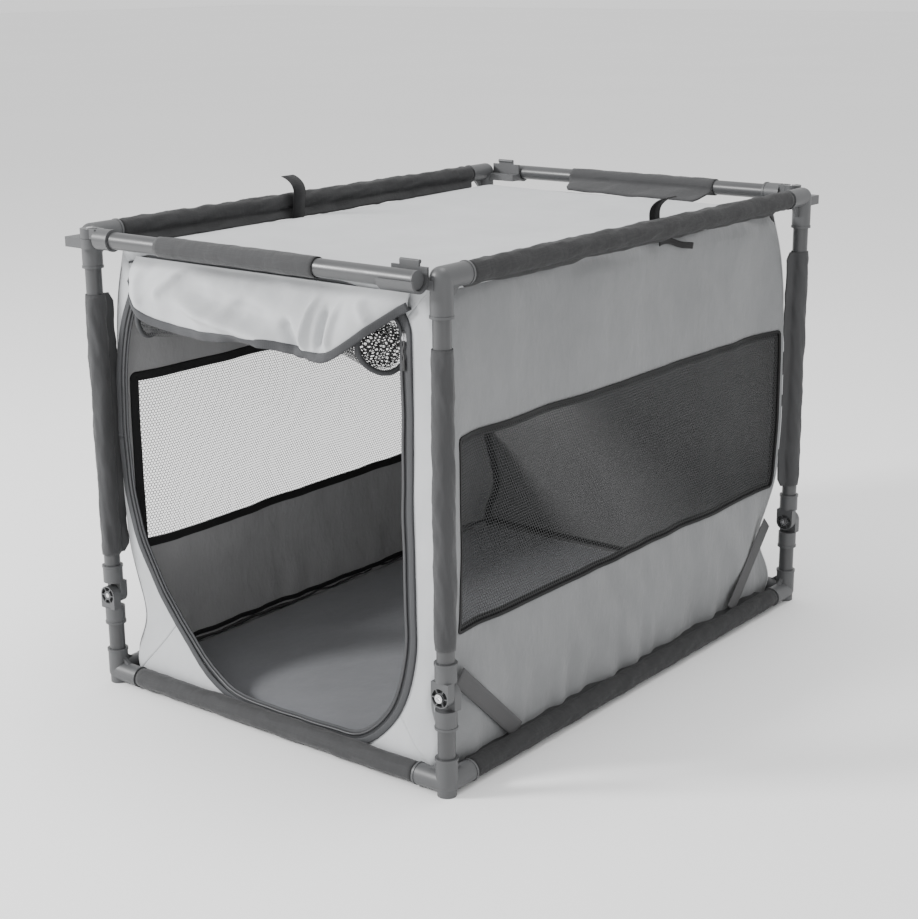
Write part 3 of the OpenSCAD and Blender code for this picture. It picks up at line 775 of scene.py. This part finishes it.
def flap_point(x, t):
    """The rolled door's outer cloth. t is 0 at the seam and 1 at the bound edge."""
    x, t = np.asarray(x, float), np.asarray(t, float)
    low = flap_low(x)
    z = FLAP_TOP - (FLAP_TOP - low) * t
    full = smooth_step((FLAP_TOP - low) / 0.07)
    swell = 0.038 * np.sin(math.pi * np.clip(t * 0.57 + 0.01, 0, 1)) ** 0.8 * full
    points = np.stack([x, np.zeros_like(x), z], -1)
    crush = noise_on(points, (13, 1, 9), 31) * 0.010 + noise_on(points, (34, 1, 24), 32) * 0.0042
    for start, end, width, height in FLAP_FOLDS:
        crush = crush + FOLD_DEPTH * height * crease(x, z, start, end, width)
    y = -WALL_Y - 0.004 - swell - crush * smooth_step(t / 0.2) * full
    return np.stack([x, y, z], -1)


def rolled_door():
    xs = np.linspace(FLAP_EDGE[0][0], FLAP_EDGE[-1][0], 190)
    ts = np.linspace(0, 1, 34)
    t, x = np.meshgrid(ts, xs, indexing="ij")
    flap = grid("door_flap", flap_point(x, t), [front_cloth_painted_light, front_lining], flip=True)
    thicken(flap, lining=True)
    collapse(flap)
    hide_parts("door_roll")
    edge = flap_point(xs, np.ones_like(xs))
    inner = flap_point(xs, np.full_like(xs, 0.9))
    side = edge - inner
    side /= np.linalg.norm(side, axis=1)[:, None] + 1e-9
    ahead = heading(edge)
    face = np.cross(ahead, side)
    face *= np.sign(-face[:, 1:2])
    side = np.cross(face, ahead)
    binding = ribbon("door_flap_binding", edge + face * 0.0006, side, face, 0.012, 0.0032, trim)
    collapse(binding)
    roll()


ROLL_R = 0.025
END_TURN = 0.75


def roll_axis(x):
    """Middle line of the mesh rolled up behind the flap. Its ends hang lower."""
    z = 0.549 - 0.020 * bump_at(x, -0.185, 0.07) - 0.015 * bump_at(x, 0.185, 0.05)
    return np.stack([x, np.full_like(x, -WALL_Y - 0.001), z], -1)


def roll_ring(x, turn, r):
    """Points round the roll at x. It is taller than it is deep, and lumpy."""
    lump = 1 + 0.06 * np.sin(x * 60 + 2 * turn) + 0.05 * np.sin(3 * turn + x * 25)
    points = roll_axis(x)
    points[..., 0] += END_TURN * r * np.cos(turn) * smooth_step((x - 0.12) / 0.06)
    points[..., 1] += r * lump * 0.95 * np.cos(turn)
    points[..., 2] += r * lump * 1.2 * np.sin(turn)
    return points


def roll():
    """The door's mesh panel, rolled up in two layers, with its bound ends."""
    def place(u, v):
        return roll_ring(u, v / 0.022, ROLL_R - 0.004 + 0.004 * v / 0.2)
    rolled = hex_net("door_mesh_roll", place, (-0.206, 0.189), (0.0, 0.245), 0.0044, 0.55, net)
    collapse(rolled)
    for label, x, inward in (("left", -0.206, 1), ("right", 0.190, -1)):
        turn = np.linspace(0, 2 * math.pi, 91)
        line = roll_ring(np.full(91, x), turn, ROLL_R + 0.001)
        rim = sweep(f"door_roll_rim_{label}", line[:-1], 0.0034, trim, 14, up=(1, 0, 0), closed=True)
        collapse(rim)
        # the net's inner turns, seen in the roll's end
        centre = line[:-1].mean(0)

        def end_face(u, v, x=x, inward=inward, centre=centre):
            deep = 0.004 + 0.012 * np.cos(np.hypot(u, v) * 190) ** 2
            turned = END_TURN * u if inward < 0 else 0 * u
            return np.stack([x + inward * deep + turned, centre[1] + u, centre[2] + v * 1.2], 1)
        end = hex_net(f"door_roll_end_{label}", end_face, (-0.03, 0.03), (-0.03, 0.03), 0.0036, 0.42,
                      net, lambda u, v: np.hypot(u, v) < ROLL_R - 0.002)
        collapse(end)


def door_seam():
    """Piping where the rolled door is sewn on: an arch that dips at both ends."""
    x = np.linspace(-0.242, 0.233, 90)
    z = 0.602 - 0.020 * smooth_step((x - 0.12) / 0.12) - 0.012 * smooth_step((-0.2 - x) / 0.045)
    seam = tape_along("door_seam", front_face(x, z, 0.0012), (0, -1, 0), 0.0032, 0.0022, trim)
    collapse(seam)


front_panel()
door_trim()
rolled_door()
door_seam()


def slider():
    """Zip slider with its bridge, and the pull that hangs from it."""
    x, _, z = SLIDER
    back = float(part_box("zip_slider")[1][1])
    bm = bmesh.new()
    profile = [(-0.0044, -0.0065), (-0.0036, 0.0062), (0.0036, 0.0062), (0.0044, -0.0065)]
    for level in (back - 0.0001, back - 0.0026):
        ring = [bm.verts.new((x + u, level, z + w)) for u, w in profile]
        bm.faces.new(ring)
    v = list(bm.verts)
    for k in range(4):
        bm.faces.new((v[k], v[(k + 1) % 4], v[4 + (k + 1) % 4], v[4 + k]))
    bmesh.ops.recalc_face_normals(bm, faces=bm.faces)
    bmesh.ops.bevel(bm, geom=list(bm.edges), offset=0.0009, segments=3, affect="EDGES")
    mesh = bpy.data.meshes.new("zip_slider_body")
    bm.to_mesh(mesh)
    bm.free()
    mesh.materials.append(steel)
    mesh.shade_smooth()
    body = add_object("zip_slider_body", mesh)
    turn = np.linspace(0, math.pi, 15)
    line = [np.full(15, x), back - 0.0024 - 0.0022 * np.sin(turn), z + 0.0042 * np.cos(turn)]
    bridge = sweep("zip_slider_bridge", np.stack(line, 1), 0.0009, steel, up=(1, 0, 0))
    for piece in (body, bridge):
        collapse(piece, "slider")
    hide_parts("zip_slider")
    y = box_middle("zip_pull", 1)
    turn = np.linspace(0, 2 * math.pi, 25)[:-1]
    line = [x + 0.0021 * np.cos(turn), np.full(24, y), z - 0.0015 + 0.003 * np.sin(turn)]
    ring = sweep("zip_pull_ring", np.stack(line, 1), 0.0007, steel, up=(0, 1, 0), closed=True)
    drop = np.linspace(0, 1, 40)
    line = [x + 0.0010 * np.sin(drop * 9), y - 0.0006 * drop, z - 0.004 - 0.024 * drop]
    twist = 0.0013 * (1 + 0.12 * np.sin(drop * 60))
    cord = sweep("zip_pull_cord", np.stack(line, 1), twist, strap_grey, up=(0, 1, 0))
    drop = np.linspace(0, 1, 22)
    line = [np.full(22, x), np.full(22, y), z - 0.027 - 0.013 * drop]
    ribs = 0.0026 * (0.75 + 0.3 * np.sin(drop * math.pi)) * (1 + 0.08 * np.sin(drop * 40))
    grip = sweep("zip_pull_grip", np.stack(line, 1), ribs, black_plastic, squash=0.6, up=(0, 1, 0))
    for piece, slot in ((ring, "bright_steel"), (cord, "black_plastic"), (grip, "black_plastic")):
        collapse(piece, "pull")
    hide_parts("zip_pull")


slider()

# ---------------------------------------------------------------- roof, rear panel and floor


def roof():
    xs, ys = np.linspace(-1, 1, 91), np.linspace(-1, 1, 121)
    v, u = np.meshgrid(ys, xs, indexing="ij")
    # corners are rounded, and the sides are drawn in a little between the webs
    corner = smooth_step((abs(u) - 0.85) / 0.15) * smooth_step((abs(v) - 0.9) / 0.1)
    x = u * (WALL_X - 0.002 - 0.004 * bump_at(v, 0.0, 0.7) - 0.010 * corner)
    y = v * (WALL_Y - 0.001 - 0.014 * corner)
    points = np.stack([x, y, np.zeros_like(x)], -1)
    rim = np.maximum(smooth_step((abs(u) - 0.9) / 0.1), smooth_step((abs(v) - 0.93) / 0.07))
    sag = -0.006 * (1 - u ** 2) * (1 - v ** 4)
    ripple = noise_on(points, (5, 3, 1), 41) * 0.0022 + noise_on(points, (17, 9, 1), 42) * 0.0009
    z = ROOF_Z + 0.004 + sag + ripple * (1 - rim) - 0.007 * rim ** 2
    sheet = grid("roof_cloth", np.stack([x, y, z], -1), [roof_cloth, front_lining])
    thicken(sheet, lining=True)
    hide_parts("roof_panel")
    collapse(sheet)


def rear_panel():
    us, zs = np.linspace(-1, 1, 90), np.linspace(FLOOR_Z, PANEL_TOP, 95)
    z, u = np.meshgrid(zs, us, indexing="ij")
    points, near = upright_panel(u * edge_x(z), z)
    ripple = noise_on(points, (10, 1, 4), 51) * 0.0035 + noise_on(points, (24, 1, 15), 52) * 0.0012
    bow = 0.004 * bump_at(z, 0.1, 0.08) + 0.003 * bump_at(z, 0.35, 0.2)
    points[..., 1] = WALL_Y - 0.003 * near ** 2 + (ripple + bow) * (1 - near)
    panel = grid("rear_panel_cloth", points, [front_cloth_painted_light, front_lining], flip=True)
    thicken(panel, lining=True)
    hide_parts("rear_panel")
    collapse(panel)


def corner_bindings():
    """Black tape over the seams inside the tent's four upright corners."""
    z = np.linspace(FLOOR_Z + 0.012, PANEL_TOP - 0.01, 70)
    for sx in (-1, 1):
        for sy in (-1, 1):
            x = sx * (edge_x(z) - 0.0060)
            y = np.full_like(z, sy * (WALL_Y - 0.0070))
            side, end = ("left" if sx < 0 else "right"), ("front" if sy < 0 else "rear")
            tape = tape_along(f"corner_binding_{side}_{end}", np.stack([x, y, z], 1),
                              np.array([-sx, -sy, 0]) / math.sqrt(2), 0.011, 0.0016, black_trim)
            collapse(tape)


def floor_bindings():
    """Black tape where the floor meets the two side walls and the rear panel."""
    z = float(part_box("floor_mat")[1][2]) + 0.003
    t = np.linspace(-1, 1, 120)
    level, y = np.full(120, z), t * (WALL_END - 0.006)
    rear = np.stack([t * (edge_x(z) - 0.008), np.full(120, WALL_Y - 0.004), level], 1)
    for label, line, face in (
            ("left", wall_point(-1, y, level, WALL_SEEDS[-1], -0.0030), (1, 0, 0)),
            ("right", wall_point(1, y, level, WALL_SEEDS[1], -0.0030), (-1, 0, 0)),
            ("rear", rear, (0, -1, 0))):
        tape = tape_along(f"floor_binding_{label}", line, face, 0.007, 0.0016, black_trim)
        mount(tape, "base")


def pad(name, x, y, low, high, material, crown, seed, n=90):
    """A flat padded slab with rounded edges and a slightly crowned top."""
    turn = np.linspace(-math.pi / 2, math.pi / 2, 9)
    rings = []
    half = (high - low) / 2
    us = np.linspace(-1, 1, n)
    edge = np.concatenate([np.stack([us, -np.ones(n)], 1)[:-1], np.stack([np.ones(n), us], 1)[:-1],
                           np.stack([us[::-1], np.ones(n)], 1)[:-1],
                           np.stack([-np.ones(n), us[::-1]], 1)[:-1]])
    # rows run out over the underside, round the edge and back in over the top: (share, height)
    shares = np.linspace(0.02, 0.97, 26)
    rows = [(s, -1.0) for s in shares]
    rows += [(1.0 - 0.03 * (1 - math.cos(a)), math.sin(a)) for a in turn[1:-1]]
    rows += [(s, 1.0) for s in shares[::-1]]
    for s, v in rows:
        px, py = edge[:, 0] * s * x, edge[:, 1] * s * y
        # round the slab's corners
        k = smooth_step((abs(edge[:, 0]) - 0.93) / 0.07) * smooth_step((abs(edge[:, 1]) - 0.93) / 0.07)
        px, py = px * (1 - 0.02 * k), py * (1 - 0.015 * k)
        z = (low + high) / 2 + v * half
        points = np.stack([px, py, np.full_like(px, z)], -1)
        if v > 0.99:
            lift = crown * (1 - s ** 4) + 0.0014 * noise_on(points, (7, 7, 1), seed) * (1 - s ** 6)
            points[:, 2] += lift
        rings.append(points)
    obj = close_up(grid(name, np.array(rings), [material], closed_v=True))
    obj.data.shade_smooth()
    return obj


def floor_piece(name, node, inset, material, crown, seed):
    """A pad in the place of a flat CAD piece. inset is what it loses below and above."""
    lo, hi = (np.array(v, float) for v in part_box(node))
    obj = pad(name, hi[0] - 0.001, hi[1] - 0.001, lo[2] + inset[0], hi[2] - inset[1], material, crown, seed)
    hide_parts(node)
    mount(obj, "base")


def floors():
    floor_piece("floor_mat_pad", "floor_mat", (0.0005, 0.002), mat_cloth, 0.002, 61)
    floor_piece("floor_board_cover", "floor_board", (0.0, 0.0006), dark_cloth_y_painted_shade, 0.0, 62)


roof()
rear_panel()
corner_bindings()
floor_bindings()
floors()

# ---------------------------------------------------------------- sleeves and webs


WEB_TIP = 0.0009


def sleeve(name, start, end, fin, reach, material, seed, body, wrinkle=0.0012, replaces=None):
    """Cloth round a tube from start to end, drawn out into a flat web.

    fin is the web's direction across the tube, and reach(t) is how far it goes from the axis.
    """
    r = SLEEVE_R
    start, end, fin = (np.asarray(a, float) for a in (start, end, fin))
    length = np.linalg.norm(end - start)
    axis = (end - start) / length
    fin = fin - axis * (fin @ axis)
    fin /= np.linalg.norm(fin)
    cross = np.cross(axis, fin)
    n = max(24, int(length / 0.0055))
    ts = np.linspace(0, 1, n)
    turn = np.radians(np.linspace(13, 347, 29))
    a, b = r * np.cos(turn), r * np.sin(turn)
    rings = []
    for t in ts:
        far = reach(t)
        if far > r + 0.001:
            steps = np.linspace(0.2, 1, 6)
            lead_a = a[0] + (far - a[0]) * steps
            lead_b = b[0] + (WEB_TIP - b[0]) * steps ** 0.6
        else:
            steps = np.radians(np.linspace(11, 1, 6))
            lead_a, lead_b = r * np.cos(steps), r * np.sin(steps)
        across = np.concatenate([lead_a[::-1], a, lead_a])
        over = np.concatenate([lead_b[::-1], b, -lead_b])
        rings.append(start + axis * (t * length) + across[:, None] * fin + over[:, None] * cross)
    rings = np.array(rings)
    middle = (start + np.outer(ts, end - start))[:, None]
    away = rings - middle
    away /= np.linalg.norm(away, axis=2, keepdims=True)
    along = rings @ axis
    angle = np.arctan2(away @ cross, away @ fin)
    spiral = np.stack([along * 34 + angle * 1.6, along * 9 - angle * 1.1, np.full_like(along, seed)], -1)
    fine = np.stack([along * 95 + angle * 2.2, along * 20 - angle * 2.0, np.full_like(along, seed + 5)], -1)
    lift = noise_on(spiral, 1.0, 0) * wrinkle * 1.6 + noise_on(fine, 1.0, 1) * wrinkle * 0.6
    held = smooth_step(np.minimum(ts, 1 - ts) * length / 0.012)[:, None]
    reach_out = (rings - middle) @ fin
    pleat = np.stack([along * 30 + reach_out * 40, along * 6 - reach_out * 12,
                      np.full_like(along, seed + 9)], -1)
    web = noise_on(pleat, 1.0, 2) * 0.0034 * smooth_step((reach_out - r) / 0.008)
    rings = rings + cross * web[..., None]
    rings = rings + away * (np.maximum(lift + wrinkle * 0.5, -0.0003) * held)[..., None]
    obj = grid(name, rings, [material], closed_v=True, flip=True)
    thicken(obj, 0.0007, offset=0.0)
    mount(obj, body)
    if replaces:
        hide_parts(replaces)


def taper(longest, root, ends=0.05):
    """A web that is longest in the middle and dies into the sleeve at its ends."""
    def reach(t):
        return root + (longest - root) * float(smooth_step(min(t, 1 - t) / ends))
    return reach


SLEEVE_GAP = 0.047


def sleeves():
    along = POST_Y - SLEEVE_GAP
    across = POST_X - SLEEVE_GAP
    # base rails, with webs to the tent's hem
    for sx, side in ((-1, "left"), (1, "right")):
        x = sx * POST_X
        sleeve(f"base_sleeve_{side}", (x, -along, BASE_Z), (x, along, BASE_Z), (-sx, 0, 0.4),
               taper(0.0228, SLEEVE_R, 0.03), dark_cloth_y_painted_shade, 71 + sx, "base",
               replaces="base_sleeves" if sx < 0 else None)
    for sy, end in ((-1, "front"), (1, "rear")):
        y = sy * POST_Y
        sleeve(f"base_sleeve_{end}", (-across, y, BASE_Z), (across, y, BASE_Z), (0, -sy, -0.1),
               taper(0.021, SLEEVE_R, 0.03), dark_cloth_x, 81 + sy, "base")
    for sx, side in ((-1, "left"), (1, "right")):
        x = sx * POST_X
        body = side + "_side"
        # top rails, with webs down to the roof's edge
        sleeve(f"{side}_rail_cloth", (x, -along, TOP_Z), (x, along, TOP_Z), (-sx * 0.75, 0, -0.9),
               taper(0.026, SLEEVE_R, 0.02), dark_cloth_y_painted_shade, 91 + sx, body,
               wrinkle=0.0014, replaces=f"{side}_rail_sleeve")
        low, high = (v[2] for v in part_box(f"{side}_post_sleeves"))
        for sy, end in ((-1, "front"), (1, "rear")):
            y = sy * POST_Y
            sleeve(f"{side}_{end}_post_cloth", (x, y, low), (x, y, high), (-sx * 0.34, -sy, 0),
                   taper(0.0245, 0.019, 0.03), dark_cloth_z_painted_light, 101 + sx + 3 * sy, body,
                   wrinkle=0.0013, replaces=f"{side}_post_sleeves" if sy < 0 else None)
    for sy, end in ((-1, "front"), (1, "rear")):
        y = sy * STRUT_Y
        low, high = (v[0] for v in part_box(f"{end}_strut_sleeve"))
        sleeve(f"{end}_strut_cloth", (low, y, TOP_Z), (high, y, TOP_Z), (0, -sy, -0.42),
               taper(0.045 if sy > 0 else 0.04, SLEEVE_R, 0.06), dark_cloth_x, 121 + sy,
               f"{end}_bar", wrinkle=0.0006, replaces=f"{end}_strut_sleeve")


sleeves()

# ---------------------------------------------------------------- straps


STRAP_WIDTH = 0.025
# where each corner strap starts and ends, as (distance along the crate, height)
STRAP_TOP, STRAP_FOOT = (0.379, 0.134), (0.268, 0.026)


def corner_strap(sx, sy, top, foot, number):
    """Webbing from (y, z) top to foot across a lower corner of a side wall."""
    t = np.linspace(0, 1, 40)
    yz = np.outer(1 - t, top) + np.outer(t, foot)
    y = sy * yz[:, 0]
    seed = WALL_SEEDS[sx]
    # pulled straight, and just clear of the cloth under its whole width
    cloth = np.max([sx * wall_point(sx, y, yz[:, 1] + dz, seed)[:, 0]
                    for dz in (-0.016, -0.008, 0, 0.008, 0.016)], 0)
    straight = cloth[0] * (1 - t) + cloth[-1] * t
    straight = straight + max(0, (cloth - straight).max()) + 0.0022
    line = np.stack([sx * straight, y, yz[:, 1]], 1)
    obj = tape_along(f"corner_strap_{number}", line, (sx, 0, 0), STRAP_WIDTH, 0.0014, strap_grey)
    mount(obj, "base")
    return obj


def straps():
    corners = ((-1, -1), (-1, 1), (1, -1), (1, 1))
    done = [corner_strap(sx, sy, STRAP_TOP, STRAP_FOOT, k) for k, (sx, sy) in enumerate(corners)]
    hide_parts("corner_straps")
    for sx, side, y in ((-1, "left", -0.054), (1, "right", 0.054)):
        # up from the roof's edge beside the rail, and curling outward at its end
        t = np.linspace(0, 1, 44)
        curl = 0.024 * smooth_step((t - 0.35) / 0.65) ** 1.4
        x = sx * (POST_X - 0.021 - 0.004 * np.sin(t * 2.6) + curl)
        z = ROOF_Z - 0.004 + 0.0605 * np.sin(t * 1.62) / math.sin(1.62)
        line = np.stack([x, np.full_like(t, y) + 0.003 * t, z], 1)
        ahead = heading(line)
        side_way = np.tile((0.0, 1.0, 0.0), (len(t), 1))
        obj = ribbon(f"{side}_rail_tab", line, side_way, np.cross(ahead, side_way), STRAP_WIDTH, 0.0018,
                     strap_black)
        mount(obj, side + "_side")
        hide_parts(side + "_rail_strap")
    # the loose end of the right strap, lying along the top of the wall
    t = np.linspace(0, 1, 30)
    y = 0.062 + 0.078 * t
    z = WALL_TOP - 0.004 - 0.014 * t ** 2 + 0.002 * np.sin(t * 7)
    line = wall_point(1, y, z, WALL_SEEDS[1], 0.003 + 0.004 * t ** 2)
    obj = tape_along("right_rail_tab_end", line, (1, 0, 0), 0.009, 0.0014, strap_black)
    mount(obj, "right_side")


straps()
